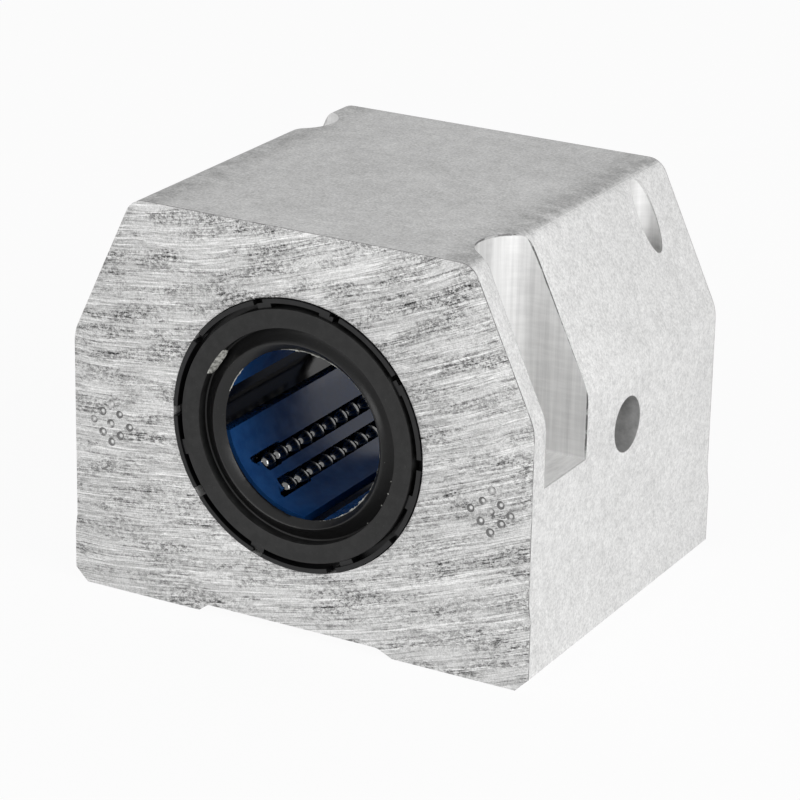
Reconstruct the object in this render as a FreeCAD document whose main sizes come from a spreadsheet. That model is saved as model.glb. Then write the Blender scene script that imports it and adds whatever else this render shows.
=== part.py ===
import FreeCAD, Part
import itertools
import math
import os
import Sketcher

# Linear bearing block: a closed recirculating-ball bearing for a 30 mm shaft, held in an
# extruded and sawn aluminium block.
# Frame: X across the block, Y along the shaft, Z up.  The origin is the middle of the base.
# Every form is drawn with the front sawn face at y = 0 and put half a block forward when
# it is placed.

SIZES = [
    # aluminium block
    ("block_width", 87.0),
    ("block_height", 70.0),
    ("block_length", 68.0),
    ("shoulder_height", 45.0),
    ("top_width", 63.0),
    ("side_jog", 0.4),
    ("left_jog_height", 9.2),
    ("right_jog_height", 12.2),
    ("jog_rise", 3.0),
    ("top_corner_radius", 3.6),
    ("shoulder_radius", 8.0),
    ("foot_chamfer", 2.3),
    ("relief_depth", 1.3),
    ("relief_half_width", 18.6),
    ("relief_left_run", 1.7),
    ("relief_right_run", 3.0),
    ("bore_height", 35.0),
    ("bore_diameter", 47.1),
    # fastening
    ("screw_span", 68.0),
    ("screw_spacing", 45.0),
    ("screw_hole", 9.0),
    ("pocket_diameter", 14.8),
    ("pocket_floor", 33.8),
    ("plain_hole", 5.9),
    ("plain_span", 68.8),
    ("port_diameter", 9.5),
    # bearing
    ("shaft_diameter", 30.0),
    ("seal_clearance", 0.02),
    ("bearing_turn", 1.9),
    ("bearing_proud", 0.3),
    ("shell_gap", 0.35),
    ("flat_depth", 0.05),
    ("seat_gap", 0.15),
    ("ring_depth", 4.2),
    ("ring_flange", 2.0),
    ("ring_rim_wall", 0.8),
    ("castle_depth", 2.0),
    ("castle_angle", 4.5),
    ("castle_count", 10),
    ("flange_bore", 32.6),
    ("seal_diameter", 43.4),
    ("seal_face_bore", 36.8),
    ("seal_step", 1.35),
    ("lip_front", 0.15),
    # sleeve, retainers and load plates
    ("sleeve_wall", 1.25),
    ("sleeve_gap", 0.1),
    ("retainer_bore", 31.2),
    ("retainer_angle", 75.5),
    ("left_pair_angle", 51.875),
    ("right_pair_angle", 39.4),
    ("rib_clearance", 3.0),
    ("plate_half_width", 4.9),
    ("plate_underside", 17.4),
    ("plate_clearance", 0.15),
    ("plate_overrun", 0.2),
    # ball circuits
    ("ball_diameter", 3.969),
    ("ball_play", 0.035),
    ("ball_clearance", 0.1),
    ("ball_pitch", 3.975),
    ("balls_per_circuit", 26),
    ("row_angle", 9.4),
    ("track_start", 11.5),
    ("return_offset", 7.77),
    ("return_height", 17.67),
    ("race_clearance", 0.05),
]

doc = FreeCAD.newDocument("linear_bearing_block")
sheet = doc.addObject("Spreadsheet::Sheet", "sizes")
for row, (alias, number) in enumerate(SIZES, start=1):
    sheet.set("A%d" % row, alias)
    sheet.set("B%d" % row, str(number))
    sheet.setAlias("B%d" % row, alias)
doc.recompute()
size = dict(SIZES)


def plane_of(body, name):
    """Origin plane or axis of a body."""
    for feature in body.Origin.OriginFeatures:
        if feature.Name.startswith(name):
            return feature
    raise ValueError(name)


def new_sketch(body, label, plane, lift=None):
    """Sketch on an origin plane, lifted off it by an expression if one is given."""
    sketch = body.newObject("Sketcher::SketchObject", label)
    sketch.AttachmentSupport = (plane_of(body, plane), [""])
    sketch.MapMode = "FlatFace"
    if lift:
        sketch.setExpression("AttachmentOffset.Base.z", lift)
    return sketch


def hold(sketch, geometry, end, place):
    """Tie one sketch point to the two expressions in place, measured from the origin."""
    for kind, axis, expression in (("DistanceX", -2, place[0]), ("DistanceY", -1, place[1])):
        if expression == "0":
            sketch.addConstraint(Sketcher.Constraint("PointOnObject", geometry, end, axis))
            continue
        index = sketch.addConstraint(Sketcher.Constraint(kind, -1, 1, geometry, end, 10.0))
        sketch.setExpression("Constraints[%d]" % index, expression)


def add_polygon(sketch, places):
    """Closed outline through points given as pairs of expressions."""
    count = len(places)
    corners = []
    for index in range(count):
        turn = 2.0 * math.pi * index / count
        corners.append(FreeCAD.Vector(60.0 + 40.0 * math.cos(turn), 60.0 + 40.0 * math.sin(turn), 0))
    first = sketch.GeometryCount
    for index in range(count):
        sketch.addGeometry(Part.LineSegment(corners[index], corners[(index + 1) % count]))
    for index in range(count):
        after = first + (index + 1) % count
        sketch.addConstraint(Sketcher.Constraint("Coincident", first + index, 2, after, 1))
    for index, place in enumerate(places):
        hold(sketch, first + index, 1, place)


def add_circle(sketch, place, diameter):
    """Circle with its centre and diameter tied to expressions."""
    middle = FreeCAD.Vector(30.0, 30.0, 0)
    circle = Part.Circle(middle, FreeCAD.Vector(0, 0, 1), 5.0)
    geometry = sketch.addGeometry(circle)
    hold(sketch, geometry, 3, place)
    index = sketch.addConstraint(Sketcher.Constraint("Diameter", geometry, 10.0))
    sketch.setExpression("Constraints[%d]" % index, diameter)


def pocket(body, label, sketch, length=None, along_normal=True):
    """Cut along the sketch normal or against it; through everything if no length is given."""
    volume = body.Tip.Shape.Volume
    cut = body.newObject("PartDesign::Pocket", label)
    cut.Profile = sketch
    cut.Reversed = along_normal
    if length:
        cut.setExpression("Length", length)
    else:
        cut.Type = "ThroughAll"
    doc.recompute()
    if cut.Shape.Volume > volume - 0.1:
        raise RuntimeError(label + " removes nothing")
    return cut


def edges_along_y(shape, spots):
    """Names of the edges which run along Y through the given (x, z) spots."""
    names = []
    for index, edge in enumerate(shape.Edges, start=1):
        ends = [vertex.Point for vertex in edge.Vertexes]
        if len(ends) != 2 or abs(ends[0].x - ends[1].x) + abs(ends[0].z - ends[1].z) > 0.01:
            continue
        for x, z in spots:
            if math.hypot(ends[0].x - x, ends[0].z - z) < 0.05:
                names.append("Edge%d" % index)
    return names


def dress(body, kind, label, names, amount):
    """Fillet or chamfer on named edges of the body's latest shape."""
    base = body.Tip
    item = body.newObject("PartDesign::" + kind, label)
    item.Base = (base, names)
    item.setExpression("Radius" if kind == "Fillet" else "Size", amount)
    doc.recompute()
    return item


def along_y(turn="0"):
    """Rotation which lays a Z-built cylinder along +Y and then turns it about Y."""
    return "rotation(vector(0; 1; 0); %s) * rotation(vector(1; 0; 0); -90)" % turn


def primitive(kind, label, **expressions):
    """Part primitive with every given property tied to an expression."""
    item = doc.addObject("Part::" + kind, label)
    for name, expression in expressions.items():
        item.setExpression(name, expression)
    return item


def rod(label, radius, length, x="0", y="0", z="0", turn="0", angle="360"):
    """Cylinder (or sector of one) along +Y."""
    place = "placement(vector(%s; %s; %s); %s)" % (x, y, z, along_y(turn))
    return primitive("Cylinder", label, Radius=radius, Height=length, Angle=angle, Placement=place)


def flats(label, count, radius, length, x="0", y="0", z="0"):
    """Channel along +Y with flat sides standing the given radius off its axis."""
    place = "placement(vector(%s; %s; %s); %s)" % (x, y, z, along_y("180 / %d" % count))
    return primitive("Prism", label, Polygon=str(count), Height=length, Placement=place,
                     Circumradius="(%s) / cos(180 / %d)" % (radius, count))


def block(label, wide, long, high, x, y, z, turn="0"):
    """Box whose corner (x, y, z) is turned about Y with it."""
    place = ("placement(vector(0; 0; 0); rotation(vector(0; 1; 0); %s)) * "
             "placement(vector(%s; %s; %s); rotation(vector(0; 0; 1); 0))" % (turn, x, y, z))
    return primitive("Box", label, Length=wide, Width=long, Height=high, Placement=place)


def fuse(label, shapes):
    item = doc.addObject("Part::MultiFuse", label)
    item.Shapes = shapes
    item.Refine = True
    return item


def subtract(label, base, tool):
    item = doc.addObject("Part::Cut", label)
    item.Base = base
    item.Tool = tool
    item.Refine = True
    return item


def fitted(label, form, placement):
    """Sub-part which repeats a form at its own place in the block."""
    item = doc.addObject("Part::Compound", label)
    item.Label = label
    item.Links = [form]
    item.setExpression("Placement", placement)
    return item


parts = []

# ---------------------------------------------------------------- housing block
# One extruded aluminium section, sawn to length: sloping shoulders, a shallow relief under
# the foot and side faces that stand a little proud near the base.
half = "sizes.block_width / 2"
upper = "sizes.block_width / 2 - sizes.side_jog"
housing = doc.addObject("PartDesign::Body", "housing_block")
housing.Label = "housing_block"
housing.setExpression("Placement", "placement(vector(0; -sizes.block_length / 2; 0); "
                      "rotation(vector(0; 0; 1); 0))")
profile = new_sketch(housing, "block_profile", "XZ_Plane")
add_polygon(profile, [
    ("-" + half, "0"),
    ("-sizes.relief_half_width", "0"),
    ("-sizes.relief_half_width + sizes.relief_left_run", "sizes.relief_depth"),
    ("sizes.relief_half_width - sizes.relief_right_run", "sizes.relief_depth"),
    ("sizes.relief_half_width", "0"),
    (half, "0"),
    (half, "sizes.right_jog_height"),
    (upper, "sizes.right_jog_height + sizes.jog_rise"),
    (upper, "sizes.shoulder_height"),
    ("sizes.top_width / 2", "sizes.block_height"),
    ("-sizes.top_width / 2", "sizes.block_height"),
    ("-(%s)" % upper, "sizes.shoulder_height"),
    ("-(%s)" % upper, "sizes.left_jog_height + sizes.jog_rise"),
    ("-(%s)" % half, "sizes.left_jog_height"),
])
extrusion = housing.newObject("PartDesign::Pad", "extrusion")
extrusion.Profile = profile
extrusion.setExpression("Length", "sizes.block_length")
extrusion.Reversed = True
doc.recompute()

half_width = size["block_width"] / 2.0
upper_half = half_width - size["side_jog"]
top_half = size["top_width"] / 2.0
relief_left = -size["relief_half_width"] + size["relief_left_run"]
relief_right = size["relief_half_width"] - size["relief_right_run"]
spots = [(top_half, size["block_height"]), (-top_half, size["block_height"])]
dress(housing, "Fillet", "top_corners", edges_along_y(housing.Tip.Shape, spots),
      "sizes.top_corner_radius")
spots = [(upper_half, size["shoulder_height"]), (-upper_half, size["shoulder_height"])]
dress(housing, "Fillet", "shoulders", edges_along_y(housing.Tip.Shape, spots),
      "sizes.shoulder_radius")
spots = [(half_width, 0.0), (-half_width, 0.0)]
dress(housing, "Chamfer", "foot_corners", edges_along_y(housing.Tip.Shape, spots),
      "sizes.foot_chamfer")
spots = [(relief_left, size["relief_depth"]), (relief_right, size["relief_depth"])]
dress(housing, "Fillet", "relief_corners", edges_along_y(housing.Tip.Shape, spots),
      "sizes.relief_depth")

# Bore for the bearing.
bore_sketch = new_sketch(housing, "bore_circle", "XZ_Plane")
add_circle(bore_sketch, ("0", "sizes.bore_height"), "sizes.bore_diameter")
pocket(housing, "bearing_bore", bore_sketch, along_normal=False)

# Two screws hold the block down from diagonally opposite corners.  Each sinks into a round
# pocket which runs out through the side face.
near = "sizes.block_length / 2 - sizes.screw_spacing / 2"
far = "sizes.block_length / 2 + sizes.screw_spacing / 2"
screws = [("sizes.screw_span / 2", near), ("-sizes.screw_span / 2", far)]
pocket_sketch = new_sketch(housing, "pocket_circles", "XY_Plane", "sizes.pocket_floor")
for place in screws:
    add_circle(pocket_sketch, place, "sizes.pocket_diameter")
pocket(housing, "screw_pockets", pocket_sketch)
mouth_sketch = new_sketch(housing, "pocket_mouths", "XY_Plane", "sizes.pocket_floor")
for side, (x, y) in zip(("", "-"), screws):
    low = "%s - sizes.pocket_diameter / 2" % y
    high = "%s + sizes.pocket_diameter / 2" % y
    outside = side + "(sizes.block_width / 2 + 5)"
    add_polygon(mouth_sketch, [(x, low), (outside, low), (outside, high), (x, high)])
pocket(housing, "side_openings", mouth_sketch)
screw_sketch = new_sketch(housing, "screw_circles", "XY_Plane")
for place in screws:
    add_circle(screw_sketch, place, "sizes.screw_hole")
pocket(housing, "screw_holes", screw_sketch)

# Plain through holes at the other two corners.
plain_sketch = new_sketch(housing, "plain_circles", "XY_Plane")
add_circle(plain_sketch, ("sizes.plain_span / 2", far), "sizes.plain_hole")
add_circle(plain_sketch, ("-sizes.plain_span / 2", near), "sizes.plain_hole")
pocket(housing, "plain_holes", plain_sketch)

# Lubrication port from the right-hand side into the bore.
port_sketch = new_sketch(housing, "port_circle", "YZ_Plane")
add_circle(port_sketch, ("sizes.block_length / 2", "sizes.bore_height"), "sizes.port_diameter")
pocket(housing, "lubrication_port", port_sketch)

parts.append(housing)

# ---------------------------------------------------------------- bearing, common lengths
cage_start = "sizes.ring_depth"
cage_length = "sizes.block_length - 2 * sizes.ring_depth"
track_length = "sizes.block_length - 2 * sizes.track_start"
bore_radius = "sizes.bore_diameter / 2"
shell_radius = bore_radius + " - sizes.shell_gap"
sleeve_bore = shell_radius + " - sizes.sleeve_wall"
retainer_radius = sleeve_bore + " - sizes.sleeve_gap"
axis = "vector(0; -sizes.block_length / 2; sizes.bore_height)"
turns = {
    "1": "90 - (180 - sizes.left_pair_angle - sizes.bearing_turn)",
    "2": "90 - (180 + sizes.left_pair_angle - sizes.bearing_turn)",
    "3": "90 - (360 - sizes.right_pair_angle - sizes.bearing_turn)",
    "4": "90 - (sizes.right_pair_angle - sizes.bearing_turn)",
}

# ---------------------------------------------------------------- load plates
# Hardened steel plate over each pair of loaded ball rows: flat underside with two race
# grooves, back ground to the bore.
plate_start = "sizes.track_start - sizes.plate_overrun"
plate_length = track_length + " + 2 * sizes.plate_overrun"
row_radius = "(sizes.shaft_diameter + sizes.ball_diameter) / 2 + sizes.ball_play"
row_x = "(%s) * sin(sizes.row_angle)" % row_radius
row_z = "(%s) * cos(sizes.row_angle)" % row_radius
plate_stock = block("plate_stock", "2 * sizes.plate_half_width", plate_length,
                    "sizes.bore_diameter / 2", "-sizes.plate_half_width", plate_start,
                    "sizes.plate_underside")
plate_back = rod("plate_back", shell_radius, plate_length, y=plate_start)
plate_blank = doc.addObject("Part::MultiCommon", "plate_blank")
plate_blank.Shapes = [plate_stock, plate_back]
race_radius = "sizes.ball_diameter / 2 + sizes.race_clearance"
races = fuse("races", [
    flats("race_right", 8, race_radius, "sizes.block_length", x=row_x, z=row_z),
    flats("race_left", 8, race_radius, "sizes.block_length", x="-(%s)" % row_x, z=row_z),
])
plate_form = subtract("plate_form", plate_blank, races)

# ---------------------------------------------------------------- ball retainers
# Each segment carries two closed ball circuits.  The loaded row shows through a slot in the
# inner face, the return row runs inside the wall, and the ends turn in flat pockets.
channel_radius = "sizes.ball_diameter / 2 + sizes.ball_clearance"
tilt_rise = "(sizes.return_height - (%s))" % row_z
tilt_run = "(sizes.return_offset - (%s))" % row_x
bend_radius = "sqrt(pow(%s; 2) + pow(%s; 2)) / 2" % (tilt_rise, tilt_run)
tilt = "atan2(%s; %s)" % (tilt_rise, tilt_run)
middle_x = "(sizes.return_offset + %s) / 2" % row_x
middle_z = "(sizes.return_height + %s) / 2" % row_z
retainer_stock = rod("retainer_stock", retainer_radius, cage_length, y=cage_start,
                     turn="-90 - sizes.retainer_angle / 2", angle="sizes.retainer_angle")
hollows = [rod("retainer_inside", "sizes.retainer_bore / 2", "sizes.block_length")]
hollows.append(block("plate_recess", "2 * (sizes.plate_half_width + sizes.plate_clearance)",
                     plate_length + " + 2 * sizes.plate_clearance", "sizes.bore_diameter / 2",
                     "-(sizes.plate_half_width + sizes.plate_clearance)",
                     plate_start + " - sizes.plate_clearance",
                     "sizes.plate_underside - sizes.plate_clearance"))
for side, word in (("", "right"), ("-", "left")):
    hollows.append(flats("load_track_" + word, 8, channel_radius, track_length,
                         x="%s(%s)" % (side, row_x), y="sizes.track_start", z=row_z))
    hollows.append(flats("return_track_" + word, 8, channel_radius, track_length,
                         x=side + "sizes.return_offset", y="sizes.track_start",
                         z="sizes.return_height"))
    for end, place in (("front", "sizes.track_start"),
                       ("rear", "sizes.block_length - sizes.track_start")):
        turned = "placement(vector(%s(%s); %s; %s); rotation(vector(0; 1; 0); %s(%s)))" % (
            side, middle_x, place, middle_z, "-" if side == "" else "", tilt)
        shifted = " * placement(vector(0; 0; -(%s)); rotation(vector(0; 0; 1); 22.5))" % channel_radius
        hollows.append(primitive("Prism", "bend_%s_%s" % (word, end), Polygon="8",
                                 Circumradius="((%s) + %s) / cos(22.5)" % (bend_radius, channel_radius),
                                 Height="2 * (%s)" % channel_radius,
                                 Placement=turned + shifted))
retainer_form = subtract("retainer_form", retainer_stock, fuse("retainer_hollows", hollows))

# ---------------------------------------------------------------- ball circuits
# Balls are faceted solids whose corners all lie on the true ball surface, so a circuit never
# reaches past its real size.
def faceted_ball(diameter):
    """Closed ball of 20 flat faces."""
    golden = (1.0 + math.sqrt(5.0)) / 2.0
    scale = diameter / 2.0 / math.sqrt(1.0 + golden * golden)
    corners = []
    for first in (-1.0, 1.0):
        for second in (-golden, golden):
            corners.append(FreeCAD.Vector(0, first, second) * scale)
            corners.append(FreeCAD.Vector(first, second, 0) * scale)
            corners.append(FreeCAD.Vector(second, 0, first) * scale)
    edge = 2.0 * scale + 1e-6
    faces = []
    for trio in itertools.combinations(corners, 3):
        sides = [(trio[0] - trio[1]).Length, (trio[1] - trio[2]).Length, (trio[2] - trio[0]).Length]
        if max(sides) < edge:
            faces.append(Part.Face(Part.makePolygon(list(trio) + [trio[0]])))
    return Part.makeSolid(Part.makeShell(faces))


def circuit_places(mirror):
    """Ball centres round one circuit: loaded row rearward, rear bend, return row, front bend."""
    radius = (size["shaft_diameter"] + size["ball_diameter"]) / 2.0 + size["ball_play"]
    angle = math.radians(size["row_angle"])
    start = FreeCAD.Vector(radius * math.sin(angle), 0, radius * math.cos(angle))
    finish = FreeCAD.Vector(size["return_offset"], 0, size["return_height"])
    span = finish - start
    bend = span.Length / 2.0
    across = FreeCAD.Vector(span).normalize()
    straight = size["block_length"] - 2.0 * size["track_start"]
    places = []
    for number in range(int(size["balls_per_circuit"])):
        run = (number * size["ball_pitch"]) % (2.0 * straight + 2.0 * math.pi * bend)
        if run <= straight:
            s, y = -bend, run
        elif run <= straight + math.pi * bend:
            turn = (run - straight) / bend
            s, y = -bend * math.cos(turn), straight + bend * math.sin(turn)
        elif run <= 2.0 * straight + math.pi * bend:
            s, y = bend, 2.0 * straight + math.pi * bend - run
        else:
            turn = (run - 2.0 * straight - math.pi * bend) / bend
            s, y = bend * math.cos(turn), -bend * math.sin(turn)
        place = (start + finish) / 2.0 + across * s
        place.y = size["track_start"] + y
        if mirror:
            place.x = -place.x
        places.append(place)
    return places


def circuit_shape(mirror):
    ball = faceted_ball(size["ball_diameter"])
    return Part.makeCompound([ball.translated(place) for place in circuit_places(mirror)])


right_circuit = circuit_shape(False)
left_circuit = circuit_shape(True)

# ---------------------------------------------------------------- outer sleeve
# Plastic sleeve round the retainers, open over the load plates, with ribs standing inward
# between the segments.
sleeve_outside = flats("sleeve_outside", 48, shell_radius + " - sizes.flat_depth", cage_length,
                       y=cage_start)
sleeve_inside = flats("sleeve_inside", 36, sleeve_bore, "sizes.block_length")
sleeve_shell = subtract("sleeve_shell", sleeve_outside, sleeve_inside)
rib_root = sleeve_bore + " + sizes.sleeve_wall / 2"
wide_rib = "(2 * sizes.left_pair_angle - sizes.retainer_angle - 2 * sizes.rib_clearance)"
slim_rib = ("(180 - sizes.left_pair_angle - sizes.right_pair_angle - sizes.retainer_angle"
            " - 2 * sizes.rib_clearance)")
slim_middle = "((180 - sizes.left_pair_angle + sizes.right_pair_angle) / 2)"
ribs = fuse("ribs", [
    rod("rib_left", rib_root, cage_length, y=cage_start, angle=wide_rib,
        turn="-(180 - sizes.bearing_turn) - %s / 2" % wide_rib),
    rod("rib_top", rib_root, cage_length, y=cage_start, angle=slim_rib,
        turn="-(%s - sizes.bearing_turn) - %s / 2" % (slim_middle, slim_rib)),
    rod("rib_bottom", rib_root, cage_length, y=cage_start, angle=slim_rib,
        turn="%s + sizes.bearing_turn - %s / 2" % (slim_middle, slim_rib)),
])
rib_set = subtract("rib_set", ribs, rod("rib_inside", "sizes.flange_bore / 2", "sizes.block_length"))
windows = []
for number, turn in turns.items():
    windows.append(block("window_" + number, "2 * (sizes.plate_half_width + sizes.plate_clearance)",
                         plate_length + " + 2 * sizes.plate_clearance", "5",
                         "-(sizes.plate_half_width + sizes.plate_clearance)",
                         plate_start + " - sizes.plate_clearance",
                         shell_radius + " - 4", turn))
sleeve_form = subtract("sleeve_form", fuse("sleeve_with_ribs", [sleeve_shell, rib_set]),
                       fuse("windows", windows))
parts.append(fitted("outer_sleeve", sleeve_form,
                    "placement(%s; rotation(vector(0; 1; 0); 0))" % axis))

for number, turn in turns.items():
    place = "placement(%s; rotation(vector(0; 1; 0); %s))" % (axis, turn)
    parts.append(fitted("ball_retainer_" + number, retainer_form, place))
    parts.append(fitted("load_plate_" + number, plate_form, place))
    for offset, shape in ((1, right_circuit), (0, left_circuit)):
        label = "ball_circuit_%d" % (2 * int(number) - offset)
        circuit = doc.addObject("Part::Feature", label)
        circuit.Label = label
        circuit.Shape = shape
        circuit.setExpression("Placement", place)
        parts.append(circuit)

# ---------------------------------------------------------------- end rings
# Turned ring closing each end: a flange behind the seal and a thin rim cut into ten blocks.
face = "-sizes.bearing_proud"
rim_radius = "sizes.bore_diameter / 2 - sizes.seat_gap"
ring_blank = doc.addObject("PartDesign::Body", "ring_blank")
ring_sketch = new_sketch(ring_blank, "ring_profile", "XY_Plane")
flange_front = "sizes.ring_depth - sizes.ring_flange"
add_polygon(ring_sketch, [
    ("0", flange_front),
    (rim_radius + " - sizes.ring_rim_wall", flange_front),
    (rim_radius + " - sizes.ring_rim_wall", face),
    (rim_radius + " + 0.1", face),
    (rim_radius + " + 0.1", "sizes.ring_depth"),
    ("0", "sizes.ring_depth"),
])
ring_body = ring_blank.newObject("PartDesign::Revolution", "ring_body")
ring_body.Profile = ring_sketch
ring_body.ReferenceAxis = (ring_sketch, ["V_Axis"])
ring_body.Angle = 360.0
gap_sketch = new_sketch(ring_blank, "castle_gap", "XY_Plane")
add_polygon(gap_sketch, [
    (rim_radius + " - sizes.ring_rim_wall - 0.3", face + " - 1"),
    (rim_radius + " + 0.3", face + " - 1"),
    (rim_radius + " + 0.3", face + " + sizes.castle_depth"),
    (rim_radius + " - sizes.ring_rim_wall - 0.3", face + " + sizes.castle_depth"),
])
castle_gap = ring_blank.newObject("PartDesign::Groove", "castle_cut")
castle_gap.Profile = gap_sketch
castle_gap.ReferenceAxis = (gap_sketch, ["V_Axis"])
castle_gap.Midplane = True
castle_gap.setExpression("Angle", "sizes.castle_angle")
castles = ring_blank.newObject("PartDesign::PolarPattern", "castles")
castles.Originals = [castle_gap]
castles.Axis = (plane_of(ring_blank, "Y_Axis"), [""])
castles.Angle = 360.0
castles.setExpression("Occurrences", "sizes.castle_count")
ring_blank.Tip = castles
ring_rim = doc.addObject("Part::MultiCommon", "ring_rim")
ring_rim.Shapes = [ring_blank, flats("ring_edge", 60, rim_radius + " - sizes.flat_depth", "20", y="-10")]
ring_form = subtract("ring_form", ring_rim,
                     flats("flange_inside", 36, "sizes.flange_bore / 2", "sizes.block_length"))

# ---------------------------------------------------------------- wiper seals
# Rubber-faced seal: flat outer band, a step down, then a lip that rises to the shaft.
seal_blank = doc.addObject("PartDesign::Body", "seal_blank")
seal_sketch = new_sketch(seal_blank, "seal_profile", "XY_Plane")
lip_radius = "sizes.shaft_diameter / 2 + sizes.seal_clearance"
seal_face = "-sizes.bearing_proud - 0.05"
add_polygon(seal_sketch, [
    ("sizes.seal_face_bore / 2", seal_face),
    ("sizes.seal_diameter / 2 + 0.2", seal_face),
    ("sizes.seal_diameter / 2 + 0.2", flange_front),
    (lip_radius, flange_front),
    (lip_radius, "sizes.lip_front"),
    ("sizes.seal_face_bore / 2", seal_face + " + sizes.seal_step"),
])
seal_body = seal_blank.newObject("PartDesign::Revolution", "seal_body")
seal_body.Profile = seal_sketch
seal_body.ReferenceAxis = (seal_sketch, ["V_Axis"])
seal_body.Angle = 360.0
seal_form = doc.addObject("Part::MultiCommon", "seal_form")
seal_form.Shapes = [seal_blank, flats("seal_edge", 60, "sizes.seal_diameter / 2", "10", y="-5")]

front = "placement(%s; rotation(vector(0; 0; 1); 0))" % axis
rear = ("placement(vector(0; sizes.block_length / 2; sizes.bore_height); "
        "rotation(vector(0; 0; 1); 180))")
parts.append(fitted("end_ring_front", ring_form, front))
parts.append(fitted("end_ring_rear", ring_form, rear))
parts.append(fitted("wiper_seal_front", seal_form, front))
parts.append(fitted("wiper_seal_rear", seal_form, rear))

doc.recompute()

for item in doc.Objects:
    if "Invalid" in item.State or "Error" in item.State:
        raise RuntimeError("%s did not build: %s" % (item.Label, item.State))
for item in parts:
    if item.Shape.isNull() or not item.Shape.isValid() or not item.Shape.Solids:
        raise RuntimeError("%s has no valid solid" % item.Label)

os.makedirs("parts", exist_ok=True)
for item in parts:
    item.Shape.exportStep("parts/%s.step" % item.Label)
    box = item.Shape.BoundBox
    print("%-20s solids %3d  x %.2f..%.2f  y %.2f..%.2f  z %.2f..%.2f  volume %.1f" % (
        item.Label, len(item.Shape.Solids), box.XMin, box.XMax, box.YMin, box.YMax,
        box.ZMin, box.ZMax, item.Shape.Volume))
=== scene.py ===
import math
import random

import bmesh
import bpy
from mathutils import Matrix, Vector


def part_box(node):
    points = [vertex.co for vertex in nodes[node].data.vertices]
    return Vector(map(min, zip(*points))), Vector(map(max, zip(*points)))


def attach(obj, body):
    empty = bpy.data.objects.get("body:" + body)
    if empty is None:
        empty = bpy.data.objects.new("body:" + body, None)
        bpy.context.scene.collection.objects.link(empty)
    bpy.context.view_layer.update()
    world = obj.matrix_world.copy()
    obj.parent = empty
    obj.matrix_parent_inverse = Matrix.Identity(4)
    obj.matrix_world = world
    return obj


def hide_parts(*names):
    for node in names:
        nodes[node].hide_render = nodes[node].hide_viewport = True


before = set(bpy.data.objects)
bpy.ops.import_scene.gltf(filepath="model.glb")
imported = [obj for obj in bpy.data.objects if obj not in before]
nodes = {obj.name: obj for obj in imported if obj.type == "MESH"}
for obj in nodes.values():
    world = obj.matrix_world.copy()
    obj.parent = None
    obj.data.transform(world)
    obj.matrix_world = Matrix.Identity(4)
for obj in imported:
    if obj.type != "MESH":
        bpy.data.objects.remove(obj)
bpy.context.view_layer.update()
random.seed(11)

# ------------------------------------------------------------------ sizes
# Millimetres and degrees, the same as in the part. MM turns millimetres into metres.
MM = 0.001
HALF_WIDTH, HALF_LENGTH, HEIGHT = (round(reach / MM, 3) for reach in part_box("housing_block")[1])
SIDE_JOG = 0.4
TOP_HALF_WIDTH = 31.5
SHOULDER_HEIGHT = 45.0

BORE_HEIGHT = 35.0
BORE_R = 23.55
HOLE_Y = 22.5
POCKET_X = 34.0
POCKET_R = 7.4
POCKET_FLOOR = 33.8
PLAIN_HOLE_X = 34.4
PLAIN_HOLE_R = 2.95
PORT_R = 4.75

BEARING_TURN = 1.9
SEGMENT_TURNS = [turn - BEARING_TURN for turn in (128.125, 231.875, 320.6, 39.4)]
RETAINER_BORE_R = 15.6
BALL_R = 3.969 / 2.0
BALL_PITCH = 3.975
BALL_COUNT = 26
ROW_RADIUS = 15.0 + BALL_R + 0.035
ROW_ANGLE = math.radians(9.4)
RETURN_OFFSET = 7.77
RETURN_HEIGHT = 17.67
TRACK_START = 11.5
TRACK_LENGTH = 2.0 * (HALF_LENGTH - TRACK_START)


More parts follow.
